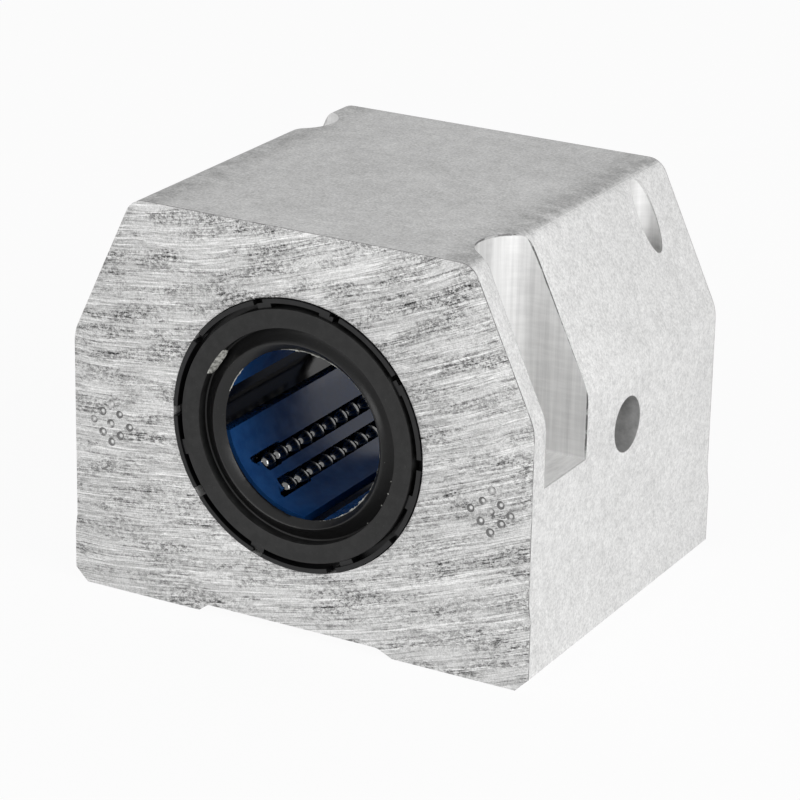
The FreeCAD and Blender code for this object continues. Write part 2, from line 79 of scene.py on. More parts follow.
# ------------------------------------------------------------------ node helpers
class Tree:
    """Builds one material's node tree; a value may be a number, a colour or a socket."""

    # most of a noise texture's values lie between these two
    NOISE_LOW = 0.3
    NOISE_HIGH = 0.7

    def __init__(self, name):
        self.material = bpy.data.materials.new(name)
        self.material.use_nodes = True
        self.tree = self.material.node_tree
        self.tree.nodes.clear()
        self.out = self.node("ShaderNodeOutputMaterial")

    def node(self, kind, **settings):
        item = self.tree.nodes.new(kind)
        for key, value in settings.items():
            setattr(item, key, value)
        return item

    def put(self, socket, value):
        if isinstance(value, bpy.types.NodeSocket):
            self.tree.links.new(value, socket)
        else:
            socket.default_value = value

    def math(self, operation, *values, clamp=False):
        item = self.node("ShaderNodeMath", operation=operation, use_clamp=clamp)
        for socket, value in zip(item.inputs, values):
            self.put(socket, value)
        return item.outputs[0]

    def add(self, a, b):
        return self.math("ADD", a, b)

    def subtract(self, a, b):
        return self.math("SUBTRACT", a, b)

    def times(self, a, b):
        return self.math("MULTIPLY", a, b)

    def least(self, a, b):
        return self.math("MINIMUM", a, b)

    def most(self, a, b):
        return self.math("MAXIMUM", a, b)

    def absolute(self, value):
        return self.math("ABSOLUTE", value)

    def length(self, a, b):
        return self.math("SQRT", self.add(self.times(a, a), self.times(b, b)))

    def step(self, value, low, high):
        """Smooth step from 0 at low to 1 at high; low may be the larger."""
        item = self.node("ShaderNodeMapRange", interpolation_type="SMOOTHSTEP")
        self.put(item.inputs["Value"], value)
        self.put(item.inputs["From Min"], low)
        self.put(item.inputs["From Max"], high)
        return item.outputs[0]

    def ramp(self, value, low, high, to_low, to_high):
        """Straight ramp from to_low at low to to_high at high."""
        item = self.node("ShaderNodeMapRange")
        self.put(item.inputs["Value"], value)
        self.put(item.inputs["From Min"], low)
        self.put(item.inputs["From Max"], high)
        self.put(item.inputs["To Min"], to_low)
        self.put(item.inputs["To Max"], to_high)
        return item.outputs[0]

    def spread(self, noise, to_low, to_high):
        """Noise drawn out to run from to_low to to_high."""
        return self.ramp(noise, self.NOISE_LOW, self.NOISE_HIGH, to_low, to_high)

    def ridge(self, value, centre, width):
        """1 where value is at centre, down to 0 at width away from it."""
        away = self.absolute(self.subtract(value, centre))
        return self.math("SUBTRACT", 1.0, self.math("DIVIDE", away, width), clamp=True)

    def total(self, base, *terms):
        """A base value plus a sum of (weight, value) terms."""
        for weight, value in terms:
            base = self.add(base, self.times(value, weight))
        return base

    def noise(self, vector, scale, detail, rough):
        item = self.node("ShaderNodeTexNoise", noise_dimensions="3D")
        self.put(item.inputs["Vector"], vector)
        item.inputs["Scale"].default_value = scale
        item.inputs["Detail"].default_value = detail
        item.inputs["Roughness"].default_value = rough
        return item.outputs["Fac"]

    def blend(self, kind, factor, a, b):
        item = self.node("ShaderNodeMix", data_type=kind)
        self.put(item.inputs["Factor"], factor)
        self.put(item.inputs["A"], a)
        self.put(item.inputs["B"], b)
        return item.outputs["Result"]

    def mix(self, factor, a, b):
        """Colour a at factor 0, colour b at 1."""
        return self.blend("RGBA", factor, a, b)

    def fmix(self, factor, a, b):
        """Number a at factor 0, number b at 1."""
        return self.blend("FLOAT", factor, a, b)

    def position(self):
        """World position in millimetres, as a vector."""
        geometry = self.node("ShaderNodeNewGeometry")
        scale = self.node("ShaderNodeVectorMath", operation="SCALE")
        self.put(scale.inputs[0], geometry.outputs["Position"])
        scale.inputs["Scale"].default_value = 1.0 / MM
        return scale.outputs[0]

    def normal(self):
        """The face's own normal, as a vector."""
        return self.node("ShaderNodeNewGeometry").outputs["True Normal"]

    def split(self, vector):
        item = self.node("ShaderNodeSeparateXYZ")
        self.put(item.inputs[0], vector)
        return item.outputs[0], item.outputs[1], item.outputs[2]

    def join(self, x, y, z):
        item = self.node("ShaderNodeCombineXYZ")
        for socket, value in zip(item.inputs, (x, y, z)):
            self.put(socket, value)
        return item.outputs[0]

    def bump(self, height, strength, depth):
        """Relief in the shading normal; depth is in millimetres."""
        item = self.node("ShaderNodeBump")
        self.put(item.inputs["Height"], height)
        item.inputs["Strength"].default_value = strength
        item.inputs["Distance"].default_value = depth * MM
        return item.outputs["Normal"]

    def finish(self, **sockets):
        """Principled shader with the named inputs set; returns the material."""
        shader = self.node("ShaderNodeBsdfPrincipled")
        for key, value in sockets.items():
            self.put(shader.inputs[key.replace("_", " ")], value)
        self.tree.links.new(shader.outputs[0], self.out.inputs[0])
        return self.material


def grey(value):
    return (value, value, value, 1.0)


def linear(red, green, blue):
    """Linear colour from 0..255 display values."""
    result = []
    for channel in (red, green, blue):
        c = channel / 255.0
        result.append(c / 12.92 if c <= 0.04045 else ((c + 0.055) / 1.055) ** 2.4)
    return tuple(result) + (1.0,)


# ------------------------------------------------------------------ the block's metal
SAW_X, SAW_Z = -60.0, 265.0
SAW_REACH = 230.0


def sawn_face(t, place):
    """Tone and relief of the sawn ends: broken lines along the saw's arcs, bands of torn dark metal."""
    x, y, z = t.split(place)
    dx = t.subtract(x, SAW_X)
    dz = t.subtract(z, SAW_Z)
    along = t.times(t.math("ARCTAN2", dx, t.times(dz, -1.0)), SAW_REACH)
    reach = t.length(dx, dz)
    reach = t.add(reach, t.times(t.noise(t.join(along, reach, 0.0), 0.035, 2.0, 0.5), 2.5))

    def streak(stretch, density, detail, rough):
        """Noise drawn out along the saw's path."""
        path = t.join(t.times(along, stretch), t.times(reach, density), y)
        return t.noise(path, 1.0, detail, rough)

    groove = streak(0.035, 1.25, 3.0, 0.6)
    dark_line = t.ridge(groove, 0.50, 0.030)
    light_line = t.ridge(groove, 0.57, 0.026)
    fine_line = t.step(streak(0.05, 2.9, 4.0, 0.75), 0.36, 0.64)
    band = t.step(streak(0.07, 0.42, 3.0, 0.6), 0.40, 0.60)
    blotch = t.step(t.noise(place, 0.16, 4.0, 0.65), 0.40, 0.62)
    dirt = t.times(band, t.fmix(0.55, blotch, 1.0))
    torn = t.noise(t.join(t.times(along, 0.7), reach, y), 2.1, 3.0, 0.75)
    mottle = t.step(torn, 0.43, 0.58)
    fleck = t.step(t.noise(place, 3.8, 2.0, 0.7), 0.38, 0.62)
    tone = t.total(0.545, (0.16, fine_line), (0.15, fleck), (-0.36, t.times(dirt, mottle)), (-0.07, dirt),
                   (-0.25, dark_line), (0.28, light_line), (-0.09, mottle))
    relief = t.total(0.0, (0.6, fine_line), (-0.8, dark_line), (0.5, light_line), (-0.3, mottle))
    return tone, relief


def skin_face(t, place, upward):
    """Tone and relief of the tumbled skin: painted shade makes the top darker, and worn patches darken it
    more by its long edges.
    """
    x = t.split(place)[0]
    grain = t.noise(place, 2.1, 4.0, 0.72)
    patch = t.noise(place, 0.55, 4.0, 0.7)
    cloud = t.noise(place, 0.12, 4.0, 0.6)
    pits = t.step(t.noise(place, 0.9, 3.0, 0.8), 0.60, 0.72)
    worn = t.times(t.step(t.absolute(x), 22.0, 29.5), t.step(upward, 0.75, 0.98))
    worn = t.times(worn, t.step(t.noise(place, 0.3, 4.0, 0.7), 0.30, 0.62))
    tone = t.add(t.spread(grain, 0.58, 0.90), t.spread(cloud, -0.035, 0.035))
    tone = t.add(tone, t.spread(patch, -0.075, 0.075))
    # painted shade: the last term makes upward faces darker, standing in for the weaker light that falls on
    # the top
    tone = t.total(tone, (-0.09, pits), (-0.18, worn), (-0.15, t.step(upward, 0.8, 0.97)))
    return tone, t.times(grain, 0.6)


def cut_masks(t, place):
    """Masks of the pockets with the plain holes, and of the port. The pairs lie half a turn apart."""
    x, y, z = t.split(place)
    across = t.absolute(x)
    ahead = t.times(y, t.math("SIGN", x))
    inward = t.least(t.subtract(across, POCKET_X), 0.0)
    pocket = t.step(t.length(inward, t.add(ahead, HOLE_Y)), POCKET_R + 0.07, POCKET_R + 0.02)
    pocket = t.times(pocket, t.step(z, POCKET_FLOOR - 0.1, POCKET_FLOOR - 0.05))
    hole = t.length(t.subtract(across, PLAIN_HOLE_X), t.subtract(ahead, HOLE_Y))
    hole = t.step(hole, PLAIN_HOLE_R + 0.1, PLAIN_HOLE_R + 0.02)
    port = t.step(t.length(y, t.subtract(z, BORE_HEIGHT)), PORT_R + 0.1, PORT_R + 0.02)
    port = t.times(port, t.step(x, 20.0, 21.0))
    return t.most(pocket, hole), port


def milled_wall(t, place):
    """Tone and relief of the pockets' walls: upright streaks, partly milled marks and partly painted
    reflection, chatter marks and a patch of painted shade.
    """
    x, y, z = t.split(place)
    across = t.absolute(x)
    ahead = t.times(y, t.math("SIGN", x))
    turn = t.math("ARCTAN2", t.add(ahead, HOLE_Y), t.subtract(across, POCKET_X))
    # the upright streaks are partly the wall's milled marks and partly painted reflection: dark bands by
    # turn round the pocket stand in for the dark surroundings the curved wall reflects
    upright = t.noise(t.join(t.times(turn, 2.2), t.times(z, 0.03), across), 1.0, 4.0, 0.65)
    chatter = t.noise(t.join(t.times(turn, 1.2), t.times(z, 0.9), 0.0), 1.0, 3.0, 0.6)
    # painted shade: a darker patch on the curved wall, stronger towards the top
    painted_shade_patch = t.times(t.ridge(t.absolute(turn), 2.8, 0.6), t.spread(chatter, 0.4, 1.0))
    painted_shade_patch = t.times(painted_shade_patch, t.ramp(z, 44.0, 57.0, 0.25, 1.0))
    floor = t.step(z, POCKET_FLOOR + 0.5, POCKET_FLOOR + 0.1)
    tone = t.total(t.ramp(upright, 0.32, 0.66, 0.64, 0.82), (0.06, t.step(chatter, 0.35, 0.65)),
                   (-0.26, painted_shade_patch), (0.08, floor))
    return tone, t.times(upright, 0.3)


def burr_line(t, place, milled, sawn):
    """Mask of the thin dark burr round the sawn ends and the pockets' rims, fainter on the rear half."""
    x, y, z = t.split(place)
    across = t.absolute(x)
    run = HALF_WIDTH - TOP_HALF_WIDTH
    fall = HEIGHT - SHOULDER_HEIGHT
    slant = math.hypot(run, fall)
    slope = t.add(t.times(t.subtract(across, TOP_HALF_WIDTH), fall / slant),
                  t.times(t.subtract(z, HEIGHT), run / slant))
    depth = t.least(t.times(slope, -1.0), t.subtract(HALF_WIDTH - SIDE_JOG, across))
    depth = t.least(depth, t.subtract(HEIGHT, z))
    depth = t.subtract(depth, t.times(t.noise(place, 0.6, 3.0, 0.7), 0.3))
    rim = t.times(t.step(depth, 0.26, 0.1), milled)
    rim = t.times(rim, t.ramp(z, POCKET_FLOOR + 0.4, POCKET_FLOOR + 2.2, 0.25, 1.0))
    end = t.step(t.absolute(y), HALF_LENGTH - 0.28, HALF_LENGTH - 0.2)
    burr = t.most(rim, t.times(end, t.subtract(1.0, sawn)))
    broken = t.step(t.noise(place, 0.55, 3.0, 0.7), 0.36, 0.52)
    burr = t.times(burr, t.fmix(broken, 0.35, 1.0))
    return t.times(burr, t.fmix(t.step(y, -1.0, 1.0), 1.0, 0.4))


def aluminium():
    """Sawn ends, tumbled skin, milled pockets and a darker port, told apart by place and facing."""
    t = Tree("block_aluminium")
    place = t.position()
    normal = t.split(t.normal())
    end = t.step(t.absolute(t.split(place)[1]), HALF_LENGTH - 0.1, HALF_LENGTH - 0.03)
    sawn = t.times(t.step(t.absolute(normal[1]), 0.9, 0.97), end)
    milled, port = cut_masks(t, place)
    hollow = t.most(milled, port)

    sawn_tone, sawn_relief = sawn_face(t, place)
    skin_tone, skin_relief = skin_face(t, place, normal[2])
    milled_tone, milled_relief = milled_wall(t, place)
    tone = t.fmix(sawn, skin_tone, sawn_tone)
    tone = t.fmix(milled, tone, milled_tone)
    # the port's walls get a darker tone than the milled walls
    tone = t.fmix(port, tone, t.spread(t.noise(place, 0.35, 4.0, 0.7), 0.30, 0.54))
    tone = t.fmix(burr_line(t, place, milled, sawn), tone, 0.16)
    colour = t.node("ShaderNodeCombineColor", mode="RGB")
    for socket, share in zip(colour.inputs, (1.0, 0.998, 0.992)):
        t.put(socket, t.times(tone, share))
    relief = t.fmix(hollow, t.fmix(sawn, skin_relief, sawn_relief), milled_relief)
    return t.finish(Base_Color=colour.outputs[0], Metallic=t.fmix(hollow, 0.45, 0.5),
                    Roughness=t.fmix(hollow, t.fmix(sawn, 0.55, 0.5), 0.5), Normal=t.bump(relief, 0.5, 0.06))


# ------------------------------------------------------------------ the bearing's materials
def blue_plastic():
    t = Tree("retainer_blue")
    place = t.position()
    cloud = t.noise(place, 0.35, 3.0, 0.6)
    colour = t.mix(t.step(cloud, 0.3, 0.7), linear(22, 70, 128), linear(30, 82, 142))
    normal = t.bump(t.noise(place, 0.7, 3.0, 0.6), 0.12, 0.08)
    return t.finish(Base_Color=colour, Roughness=t.spread(cloud, 0.16, 0.24), IOR=1.52, Normal=normal)


def black_gloss():
    t = Tree("sleeve_black")
    place = t.position()
    cloud = t.noise(place, 0.4, 4.0, 0.65)
    colour = t.mix(t.step(cloud, 0.35, 0.7), linear(8, 8, 10), linear(15, 15, 18))
    normal = t.bump(t.noise(place, 0.6, 3.0, 0.6), 0.05, 0.04)
    return t.finish(Base_Color=colour, Roughness=t.spread(cloud, 0.05, 0.12), IOR=1.46, Normal=normal)


def black_ring():
    t = Tree("ring_black")
    place = t.position()
    cloud = t.noise(place, 0.6, 5.0, 0.7)
    colour = t.mix(t.step(cloud, 0.35, 0.7), linear(9, 9, 10), linear(18, 18, 20))
    normal = t.bump(t.noise(place, 3.0, 4.0, 0.7), 0.3, 0.04)
    return t.finish(Base_Color=colour, Roughness=t.spread(cloud, 0.28, 0.42), IOR=1.42, Normal=normal)


def seal_rubber():
    """Dusty rubber, darker and smoother in the funnel inside the flat face."""
    t = Tree("seal_rubber")
    place = t.position()
    x, _, z = t.split(place)
    cloud = t.noise(place, 0.5, 5.0, 0.7)
    funnel = t.step(t.length(x, t.subtract(z, BORE_HEIGHT)), 18.5, 18.2)
    pale = t.mix(funnel, linear(34, 34, 34), linear(22, 22, 23))
    colour = t.mix(t.step(cloud, 0.35, 0.7), linear(18, 18, 18), pale)
    dust = t.step(t.noise(place, 2.2, 3.0, 0.75), 0.62, 0.75)
    colour = t.mix(t.times(dust, 0.25), colour, linear(90, 90, 88))
    rough = t.fmix(funnel, t.spread(cloud, 0.46, 0.58), 0.34)
    normal = t.bump(t.noise(place, 4.0, 4.0, 0.7), 0.35, 0.03)
    return t.finish(Base_Color=colour, Roughness=rough, IOR=1.4, Normal=normal)


def rubber_flash():
    """Pale torn flash and dust left on the seal."""
    t = Tree("seal_flash")
    cloud = t.noise(t.position(), 1.6, 4.0, 0.7)
    colour = t.mix(t.step(cloud, 0.35, 0.65), linear(96, 96, 92), linear(190, 190, 184))
    return t.finish(Base_Color=colour, Roughness=t.spread(cloud, 0.4, 0.6), Normal=t.bump(cloud, 0.4, 0.1))


def steel(name, tone, rough):
    t = Tree(name)
    cloud = t.noise(t.position(), 1.2, 4.0, 0.65)
    colour = t.mix(t.step(cloud, 0.3, 0.7), grey(tone * 0.86), grey(tone))
    return t.finish(Base_Color=colour, Metallic=1.0, Roughness=t.spread(cloud, rough * 0.7, rough * 1.3))


ALUMINIUM = aluminium()
BLUE = blue_plastic()
SLEEVE = black_gloss()
RING = black_ring()
SEAL = seal_rubber()
PLATE = steel("plate_steel", 0.55, 0.3)
# painted shade: the balls' steel gets a dark tone, standing in for the dark inside of the bore that they
# reflect
BALL = steel("ball_steel", 0.22, 0.08)
FLASH = rubber_flash()


# ------------------------------------------------------------------ mesh helpers
def finished_mesh(name, bm):
    """Mesh data made from a bmesh, which is then freed."""
    mesh = bpy.data.meshes.new(name)
    bm.to_mesh(mesh)
    bm.free()
    return mesh


def link(piece):
    bpy.context.scene.collection.objects.link(piece)
    return piece


def dress(piece, material):
    piece.data.materials.clear()
    piece.data.materials.append(material)


def shade(piece, angle):
    """Smooth shading broken at edges sharper than angle."""
    bm = bmesh.new()
    bm.from_mesh(piece.data)
    limit = math.radians(angle)
    for face in bm.faces:
        face.smooth = True
    for edge in bm.edges:
        edge.smooth = len(edge.link_faces) == 2 and edge.calc_face_angle(0.0) < limit
    bm.to_mesh(piece.data)
    bm.free()


def new_piece(name, mesh, material):
    piece = link(bpy.data.objects.new(name, mesh))
    dress(piece, material)
    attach(piece, "root")
    return piece


def loft(bm, rows, closed=False):
    """Skin over rows of vertices, each a closed outline. It ends in caps, or closes on itself."""
    count = len(rows[0])
    following = rows[1:] + rows[:1] if closed else rows[1:]
    for here, after in zip(rows, following):
        for index in range(count):
            other = (index + 1) % count
            bm.faces.new((here[index], here[other], after[other], after[index]))
    if not closed:
        bm.faces.new(rows[0])
        bm.faces.new(rows[-1])


def segment_spin(turn):
    """Rotation about the bearing's axis which brings a segment from the top to its turn."""
    return Matrix.Rotation(math.radians(90.0 - turn), 3, "Y")


def on_axis(point):
    """Metres in the world from millimetres about the bearing's axis."""
    return (point + Vector((0.0, 0.0, BORE_HEIGHT))) * MM


# ------------------------------------------------------------------ block
PUNCH_CENTRES = ((35.96, 29.7), (-35.9, 30.1))
PUNCH_TURN = math.radians(45.0)
PUNCH_PITCH = 2.45
PUNCH_WANDER = 0.2
PUNCH_R = 1.15
PUNCH_DEPTH = 0.3
EDGE_WIDTH = 0.12


def punch_places():
    """Centres of the two groups of nine punch marks beside the bore, as (x, z)."""
    c, s = math.cos(PUNCH_TURN), math.sin(PUNCH_TURN)
    places = []
    for x, z in PUNCH_CENTRES:
        for row in (-1, 0, 1):
            for column in (-1, 0, 1):
                u = column * PUNCH_PITCH + random.uniform(-PUNCH_WANDER, PUNCH_WANDER)
                v = row * PUNCH_PITCH + random.uniform(-PUNCH_WANDER, PUNCH_WANDER)
                places.append((x + u * c - v * s, z + u * s + v * c))
    return places


def plain_block():
    """The CAD block with its doubled vertices joined and its flats merged."""
    bm = bmesh.new()
    bm.from_mesh(nodes["housing_block"].data)
    bmesh.ops.remove_doubles(bm, verts=bm.verts, dist=1e-6)
    bmesh.ops.dissolve_limit(bm, angle_limit=math.radians(0.3), verts=bm.verts, edges=bm.edges)
    return finished_mesh("block", bm)


def punches():
    """Balls that stand in the front face by the depth of the punch marks."""
    bm = bmesh.new()
    for x, z in punch_places():
        radius = PUNCH_R * random.uniform(0.82, 1.05)
        spot = Matrix.Translation(Vector((x, PUNCH_DEPTH - HALF_LENGTH - radius, z)) * MM)
        bmesh.ops.create_icosphere(bm, subdivisions=3, radius=radius * MM, matrix=spot)
    return finished_mesh("punches", bm)


def punched_block():
    """The block with the punch marks cut into its front face."""
    block = link(bpy.data.objects.new("block_work", plain_block()))
    tool = link(bpy.data.objects.new("punch_work", punches()))
    cut = block.modifiers.new("punches", "BOOLEAN")
    cut.operation = "DIFFERENCE"
    cut.solver = "EXACT"
    cut.object = tool
    bpy.context.view_layer.update()
    shape = block.evaluated_get(bpy.context.evaluated_depsgraph_get())
    mesh = bpy.data.meshes.new_from_object(shape)
    bpy.data.objects.remove(block)
    bpy.data.objects.remove(tool)
    return mesh


def is_broken(edge):
    """Whether an edge gets the small bevel: sharp, outside the bore and no part of a punch mark."""
    if len(edge.link_faces) != 2:
        return False
    angle = math.degrees(edge.calc_face_angle(0.0))
    middle = (edge.verts[0].co + edge.verts[1].co) / 2.0 / MM
    in_bore = math.hypot(middle.x, middle.z - BORE_HEIGHT) < BORE_R + 0.2
    if in_bore and abs(middle.y) < HALF_LENGTH - 0.1:
        return False
    sharp = 60.0 if abs(middle.y) > HALF_LENGTH - 0.5 else 28.0
    return angle >= sharp and edge.calc_length() / MM >= 0.2


def break_edges(mesh):
    bm = bmesh.new()
    bm.from_mesh(mesh)
    edges = [edge for edge in bm.edges if is_broken(edge)]
    bmesh.ops.bevel(bm, geom=edges, offset=EDGE_WIDTH * MM, offset_type="OFFSET", segments=2, profile=0.6,
                    affect="EDGES", clamp_overlap=True)
    bm.to_mesh(mesh)
    bm.free()


def add_block():
    mesh = punched_block()
    break_edges(mesh)
    piece = new_piece("sawn_block", mesh, ALUMINIUM)
    shade(piece, 25.0)
    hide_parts("housing_block")


# ------------------------------------------------------------------ balls
def track_point(run, bend):
    """Place along a closed track, as (across, along): loaded row, bend, return row, bend."""
    arc = math.pi * bend
    if run <= TRACK_LENGTH:
        return -bend, run
    run -= TRACK_LENGTH
    if run <= arc:
        return -bend * math.cos(run / bend), TRACK_LENGTH + bend * math.sin(run / bend)
    run -= arc
    if run <= TRACK_LENGTH:
        return bend, TRACK_LENGTH - run
    run -= TRACK_LENGTH
    return bend * math.cos(run / bend), -bend * math.sin(run / bend)


def circuit_places(turn, mirror):
    """Centres of one circuit's balls, in metres."""
    start = Vector((ROW_RADIUS * math.sin(ROW_ANGLE), 0.0, ROW_RADIUS * math.cos(ROW_ANGLE)))
    finish = Vector((RETURN_OFFSET, 0.0, RETURN_HEIGHT))
    bend = (finish - start).length / 2.0
    across = (finish - start).normalized()
    places = []
    for number in range(BALL_COUNT):
        aside, along = track_point(number * BALL_PITCH, bend)
        place = (start + finish) / 2.0 + across * aside
        place.y = TRACK_START + along - HALF_LENGTH
        if mirror:
            place.x = -place.x
        places.append(on_axis(segment_spin(turn) @ place))
    return places


def add_circuit(number, turn, mirror):
    """True round balls in place of one CAD circuit."""
    bm = bmesh.new()
    for place in circuit_places(turn, mirror):
        bmesh.ops.create_icosphere(bm, subdivisions=4, radius=BALL_R * MM, matrix=Matrix.Translation(place))
    for face in bm.faces:
        face.smooth = True
    name = "balls_%d" % number
    piece = new_piece(name, finished_mesh(name, bm), BALL)
    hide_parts("ball_circuit_%d" % number)


def add_circuits():
    for index, turn in enumerate(SEGMENT_TURNS):
        add_circuit(2 * index + 1, turn, False)
        add_circuit(2 * index + 2, turn, True)


# ------------------------------------------------------------------ slot ends
LAND_SUNK = 0.015
LAND_DEPTH = 0.7
LAND_REACH = 3.2
LAND_FROM, LAND_WIDTH = -1.8, 2.3
LAND_STEPS = 12
SLOT_END_R = 2.5


def land_rows(bm, turn, side, end):
    """Outlines across one land, whose edge follows the round end of its slot."""
    inner = RETAINER_BORE_R - LAND_SUNK
    outer = RETAINER_BORE_R + LAND_DEPTH
    far = TRACK_START - LAND_REACH - HALF_LENGTH
    rows = []
    for step in range(LAND_STEPS + 1):
        u = LAND_FROM + LAND_WIDTH * step / LAND_STEPS
        near = TRACK_START - HALF_LENGTH - math.sqrt(SLOT_END_R ** 2 - u * u)
        angle = side * (ROW_ANGLE + u / RETAINER_BORE_R)
        row = []
        for radius, y in ((inner, near), (inner, far), (outer, far), (outer, near)):
            point = Vector((radius * math.sin(angle), -end * y, radius * math.cos(angle)))
            row.append(bm.verts.new(on_axis(segment_spin(turn) @ point)))
        rows.append(row)
    return rows


def add_slot_ends():
    """Blue lands which round off the slots beside the first and last loaded balls."""
    bm = bmesh.new()
    for turn in SEGMENT_TURNS:
        for side in (-1.0, 1.0):
            for end in (-1.0, 1.0):
                loft(bm, land_rows(bm, turn, side, end))
    bmesh.ops.recalc_face_normals(bm, faces=bm.faces)
    shade(new_piece("slot_ends", finished_mesh("slot_ends", bm), BLUE), 30.0)


# ------------------------------------------------------------------ seals
SEAL_STEPS = 240
# a seal's outline as (radius, depth below the block's end): beaded band, step, and cone to the lip
SEAL_BAND = [
    (21.7, 2.2), (21.7, -0.22), (21.64, -0.32), (21.52, -0.35), (21.38, -0.30), (21.2, -0.29),
    (18.6, -0.29), (18.46, -0.24), (18.4, -0.1), (18.36, 1.55), (18.15, 1.7), (17.5, 1.45),
    (16.8, 0.95), (16.25, 0.42), (16.05, 0.14), (15.92, 0.04), (15.78, 0.06),
]
SEAL_LIP = [(15.62, 0.2), (15.05, 0.85), (14.62, 1.3), (14.6, 1.42), (14.8, 1.5)]
SEAL_BACK = [(15.6, 1.8), (16.2, 2.2)]
# the lip lies off centre, more so towards its free edge, and that edge is uneven
LIP_SHIFT = Vector((0.35, 0.0, -0.12)) * MM
LIP_SOFTNESS = (0.25, 0.5, 0.75, 1.0, 1.0)
LIP_EDGE = (2, 3)
LIP_WAVE = 0.035 * MM


def seal_point(radius, depth, turn, ends):
    """Point on the front seal (ends = -1) or the rear one (ends = 1), in metres."""
    x = radius * math.cos(turn) * -ends
    return Vector((x, ends * (HALF_LENGTH - depth), BORE_HEIGHT + radius * math.sin(turn))) * MM


def seal_section(turn, ends, wave):
    """Points of one seal's outline at a turn. The wave moves the lip's free edge in or out."""
    shift = Vector((-ends * LIP_SHIFT.x, 0.0, LIP_SHIFT.z))
    outward = Vector((-ends * math.cos(turn), 0.0, math.sin(turn)))
    lip = []
    for index, (radius, depth) in enumerate(SEAL_LIP):
        point = seal_point(radius, depth, turn, ends) + shift * LIP_SOFTNESS[index]
        if index in LIP_EDGE:
            point += outward * wave * LIP_WAVE
        lip.append(point)
    band = [seal_point(radius, depth, turn, ends) for radius, depth in SEAL_BAND]
    back = [seal_point(radius, depth, turn, ends) for radius, depth in SEAL_BACK]
    return band + lip + back


def add_seal(node, ends):
    """Moulded seal in place of the plain CAD one."""
    waves = [random.uniform(-1.0, 1.0) for _ in range(SEAL_STEPS)]
    bm = bmesh.new()
    rows = []
    for step, wave in enumerate(waves):
        section = seal_section(2.0 * math.pi * step / SEAL_STEPS, ends, wave)
        rows.append([bm.verts.new(point) for point in section])
    loft(bm, rows, closed=True)
    bmesh.ops.recalc_face_normals(bm, faces=bm.faces)
    name = node + "_moulded"
    piece = new_piece(name, finished_mesh(name, bm), SEAL)
    shade(piece, 40.0)
    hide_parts(node)


# ------------------------------------------------------------------ flash and dust on the front seal
FLASH_ARCS = ((-76, 106), (140, 160))
FLASH_STEP = 0.5
FLASH_ROOT = 14.66
FLASH_EDGE = 14.62
FLASH_LEAST = 0.04
# tufts as (turn, half width in degrees, length)
FLASH_TUFTS = (
    (88.0, 16.0, 0.34), (70.0, 8.0, 0.12), (315.0, 20.0, 0.30), (345.0, 14.0, 0.12), (150.0, 12.0, 0.16),
)
SLIVER_FROM, SLIVER_SPAN = 138.0, 17.0
SLIVER_STEPS = 18
# specks as (turn, radius, depth, size)
SPECKS = (
    (333, 18.3, -0.25, 0.13), (341, 18.5, -0.3, 0.16), (348, 18.35, -0.2, 0.12), (4, 16.1, 0.5, 0.14),
    (10, 16.0, 0.45, 0.12), (356, 16.3, 0.6, 0.12), (7, 22.3, 0.7, 0.16), (318, 18.2, 0.2, 0.1),
)


def flash_width(turn):
    """How far the torn flash stands off the front lip at a turn in degrees."""
    width = FLASH_LEAST
    for middle, reach, size in FLASH_TUFTS:
        away = abs((turn - middle + 180.0) % 360.0 - 180.0)
        width += size * max(0.0, 1.0 - away / reach)
    return width


def flash_rows(bm, first, last):
    """Outlines along one arc of ragged flash on the lip's free edge."""
    ragged = 0.8
    rows = []
    for step in range(round((last - first) / FLASH_STEP) + 1):
        turn = first + FLASH_STEP * step
        ragged = min(1.4, max(0.3, ragged + random.uniform(-0.4, 0.4)))
        tip = FLASH_EDGE - flash_width(turn) * ragged
        rise = random.uniform(-0.05, 0.05)
        outline = ((FLASH_ROOT, 1.20), (tip, 1.26 + rise), (tip, 1.31 + rise), (FLASH_ROOT, 1.34))
        rows.append([bm.verts.new(seal_point(radius, depth, math.radians(turn), -1) + LIP_SHIFT)
                     for radius, depth in outline])
    return rows


def sliver_rows(bm):
    """Outlines along the pale sliver that hangs over the seal's step, widest in its middle."""
    rows = []
    for step in range(SLIVER_STEPS + 1):
        part = step / SLIVER_STEPS
        turn = math.radians(SLIVER_FROM + SLIVER_SPAN * part)
        wide = 0.25 + 0.75 * math.sin(math.pi * part) ** 0.6 * random.uniform(0.85, 1.1)
        outline = ((18.52, -0.32), (18.32, -0.12), (18.22 - 0.25 * wide, 0.35), (18.2 - 0.6 * wide, 0.75),
                   (18.2 - 0.6 * wide, 0.85), (18.38, 0.3), (18.44, -0.2))
        rows.append([bm.verts.new(seal_point(radius, depth, turn, -1)) for radius, depth in outline])
    return rows


def add_speck(bm, turn, radius, depth, size):
    spot = Matrix.Translation(seal_point(radius, depth, math.radians(turn), -1))
    made = bmesh.ops.create_icosphere(bm, subdivisions=1, radius=size * MM, matrix=spot)
    for vert in made["verts"]:
        vert.co += Vector([random.uniform(-0.3, 0.3) * size * MM for _ in range(3)])


def add_flash():
    """Thin ragged flash along the front lip, the loose sliver and the specks that lie on the seal."""
    bm = bmesh.new()
    for first, last in FLASH_ARCS:
        loft(bm, flash_rows(bm, first, last))
    loft(bm, sliver_rows(bm))
    for speck in SPECKS:
        add_speck(bm, *speck)
    bmesh.ops.recalc_face_normals(bm, faces=bm.faces)
    new_piece("seal_flash", finished_mesh("seal_flash", bm), FLASH)


